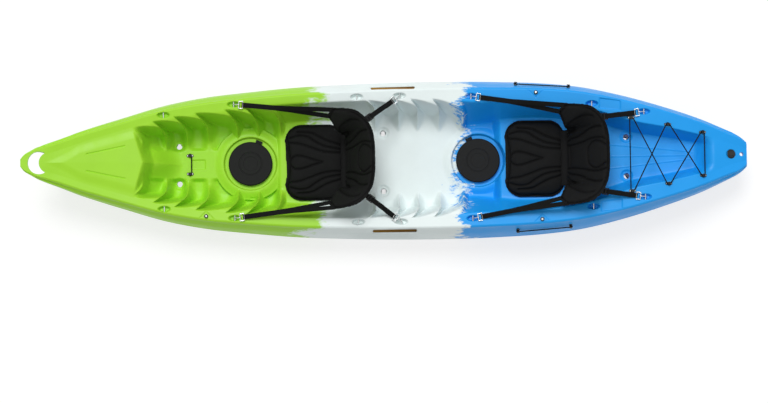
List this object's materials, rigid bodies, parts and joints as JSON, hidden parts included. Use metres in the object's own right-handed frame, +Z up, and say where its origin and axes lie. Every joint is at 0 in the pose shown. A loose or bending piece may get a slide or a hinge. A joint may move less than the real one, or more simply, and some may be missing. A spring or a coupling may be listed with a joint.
{
  "type": "sit-on-top tandem kayak",
  "caption": "Tandem sit-on-top kayak with clip-in folding seats, round hatches, a laced tank well, recessed eyes, a bow loop and a keel wheel at the stern.",
  "frame": {"origin": "middle of the bounding box in plan, at the height of the keel", "axes": "+X towards the stern, +Y to starboard, +Z up"},
  "size_m": [3.7, 0.8106, 0.4877],
  "materials": {
    "hull_plastic": "three-colour moulding, lime green bow, white midship, blue stern, satin",
    "stainless": "plain stainless",
    "black_plastic": "moulded black",
    "seat_fabric": "black covered foam",
    "webbing": "black woven webbing",
    "bungee_cord": "black braided cover",
    "hatch_rubber": "dark grey moulded rubber",
    "tyre_rubber": "black",
    "bush_plastic": "natural nylon"
  },
  "bodies": {
    "boat": {"hull": "hull_plastic", "padeye_bars": "stainless", "front_hatch_rim": "black_plastic", "rear_hatch_rim": "black_plastic", "hatch_rim_screws": "stainless", "drain_socket": "black_plastic", "wheel_axle": "stainless", "axle_caps": "black_plastic", "front_seat_base": "seat_fabric", "rear_seat_base": "seat_fabric", "front_seat_hinge": "seat_fabric", "rear_seat_hinge": "seat_fabric", "front_port_fore_strap": "webbing", "front_starboard_fore_strap": "webbing", "front_port_aft_strap": "webbing", "front_starboard_aft_strap": "webbing", "rear_port_fore_strap": "webbing", "rear_starboard_fore_strap": "webbing", "rear_port_aft_strap": "webbing", "rear_starboard_aft_strap": "webbing", "strap_rings": "stainless", "strap_hooks": "stainless", "foot_bungee": "bungee_cord", "foot_bungee_hooks": "black_plastic", "tank_bungee": "bungee_cord", "tank_bungee_hooks": "black_plastic", "port_paddle_bungee": "bungee_cord", "starboard_paddle_bungee": "bungee_cord", "paddle_bungee_hooks": "black_plastic", "cord_rivets": "stainless", "paddle_knobs": "black_plastic", "paddle_knob_screws": "stainless"},
    "keel_wheel": {"wheel_tyre": "tyre_rubber", "wheel_hub": "black_plastic", "wheel_bush": "bush_plastic"},
    "front_lid": {"front_hatch_lid": "hatch_rubber"},
    "rear_lid": {"rear_hatch_lid": "hatch_rubber"},
    "front_back": {"front_backrest": "seat_fabric", "front_strap_sliders": "black_plastic"},
    "rear_back": {"rear_backrest": "seat_fabric", "rear_strap_sliders": "black_plastic"},
    "drain_lift": {"drain_seal": "hatch_rubber"},
    "drain_screw": {"drain_plug": "black_plastic"},
    "front_port_fore_gate_body": {"front_port_fore_gate": "stainless"},
    "front_port_aft_gate_body": {"front_port_aft_gate": "stainless"},
    "front_starboard_fore_gate_body": {"front_starboard_fore_gate": "stainless"},
    "front_starboard_aft_gate_body": {"front_starboard_aft_gate": "stainless"},
    "rear_port_fore_gate_body": {"rear_port_fore_gate": "stainless"},
    "rear_port_aft_gate_body": {"rear_port_aft_gate": "stainless"},
    "rear_starboard_fore_gate_body": {"rear_starboard_fore_gate": "stainless"},
    "rear_starboard_aft_gate_body": {"rear_starboard_aft_gate": "stainless"}
  },
  "joints": [
    {"name": "wheel_spin", "type": "hinge", "parent": "boat", "child": "keel_wheel", "pos_m": [1.635, 0, 0.072], "axis": [0, 1, 0], "continuous": true},
    {"name": "front_lid_lift", "type": "slide", "parent": "boat", "child": "front_lid", "axis": [0, 0, 1], "range_m": [0, 0.08]},
    {"name": "rear_lid_lift", "type": "slide", "parent": "boat", "child": "rear_lid", "axis": [0, 0, 1], "range_m": [0, 0.08]},
    {"name": "front_back_tilt", "type": "hinge", "parent": "boat", "child": "front_back", "pos_m": [-0.2, 0, 0.1243], "axis": [0, 1, 0], "range_deg": [-20, 15], "deforming": ["front_port_fore_strap", "front_starboard_fore_strap", "front_port_aft_strap", "front_starboard_aft_strap"]},
    {"name": "rear_back_tilt", "type": "hinge", "parent": "boat", "child": "rear_back", "pos_m": [0.93, 0, 0.1723], "axis": [0, 1, 0], "range_deg": [-27, 8], "deforming": ["rear_port_fore_strap", "rear_starboard_fore_strap", "rear_port_aft_strap", "rear_starboard_aft_strap"]},
    {"name": "drain_rise", "type": "slide", "parent": "boat", "child": "drain_lift", "axis": [0, 0, 1], "range_m": [0, 0.012]},
    {"name": "drain_turn", "type": "hinge", "parent": "drain_lift", "child": "drain_screw", "pos_m": [1.766, 0, 0.2705], "axis": [0, 0, 1], "range_deg": [0, 1080]},
    {"name": "front_port_fore_gate_swing", "type": "hinge", "parent": "boat", "child": "front_port_fore_gate_body", "pos_m": [-0.74396, -0.28828, 0.29582], "axis": [-0.1031, 0.9947, 0], "range_deg": [0, 25], "stiffness_Nm_per_rad": 0.01, "springref_deg": -11.46},
    {"name": "front_port_aft_gate_swing", "type": "hinge", "parent": "boat", "child": "front_port_aft_gate_body", "pos_m": [0.05945, -0.30733, 0.29594], "axis": [-0.5979, -0.8016, 0], "range_deg": [0, 25], "stiffness_Nm_per_rad": 0.01, "springref_deg": -11.46},
    {"name": "front_starboard_fore_gate_swing", "type": "hinge", "parent": "boat", "child": "front_starboard_fore_gate_body", "pos_m": [-0.74396, 0.28828, 0.29582], "axis": [0.1031, 0.9947, 0], "range_deg": [0, 25], "stiffness_Nm_per_rad": 0.01, "springref_deg": -11.46},
    {"name": "front_starboard_aft_gate_swing", "type": "hinge", "parent": "boat", "child": "front_starboard_aft_gate_body", "pos_m": [0.05945, 0.30733, 0.29594], "axis": [0.5979, -0.8016, 0], "range_deg": [0, 25], "stiffness_Nm_per_rad": 0.01, "springref_deg": -11.46},
    {"name": "rear_port_fore_gate_swing", "type": "hinge", "parent": "boat", "child": "rear_port_fore_gate_body", "pos_m": [0.46784, -0.30779, 0.32436], "axis": [-0.1569, 0.9876, 0], "range_deg": [0, 25], "stiffness_Nm_per_rad": 0.01, "springref_deg": -11.46},
    {"name": "rear_port_aft_gate_swing", "type": "hinge", "parent": "boat", "child": "rear_port_aft_gate_body", "pos_m": [1.29506, -0.21381, 0.35944], "axis": [-0.1323, -0.9912, 0], "range_deg": [0, 25], "stiffness_Nm_per_rad": 0.01, "springref_deg": -11.46},
    {"name": "rear_starboard_fore_gate_swing", "type": "hinge", "parent": "boat", "child": "rear_starboard_fore_gate_body", "pos_m": [0.46784, 0.30779, 0.32436], "axis": [0.1569, 0.9876, 0], "range_deg": [0, 25], "stiffness_Nm_per_rad": 0.01, "springref_deg": -11.46},
    {"name": "rear_starboard_aft_gate_swing", "type": "hinge", "parent": "boat", "child": "rear_starboard_aft_gate_body", "pos_m": [1.29506, 0.21381, 0.35944], "axis": [0.1323, -0.9912, 0], "range_deg": [0, 25], "stiffness_Nm_per_rad": 0.01, "springref_deg": -11.46}
  ],
  "couplings": [
    {"joint": "drain_turn", "follows": "drain_rise", "rad_per_m": 1570.8}
  ]
}
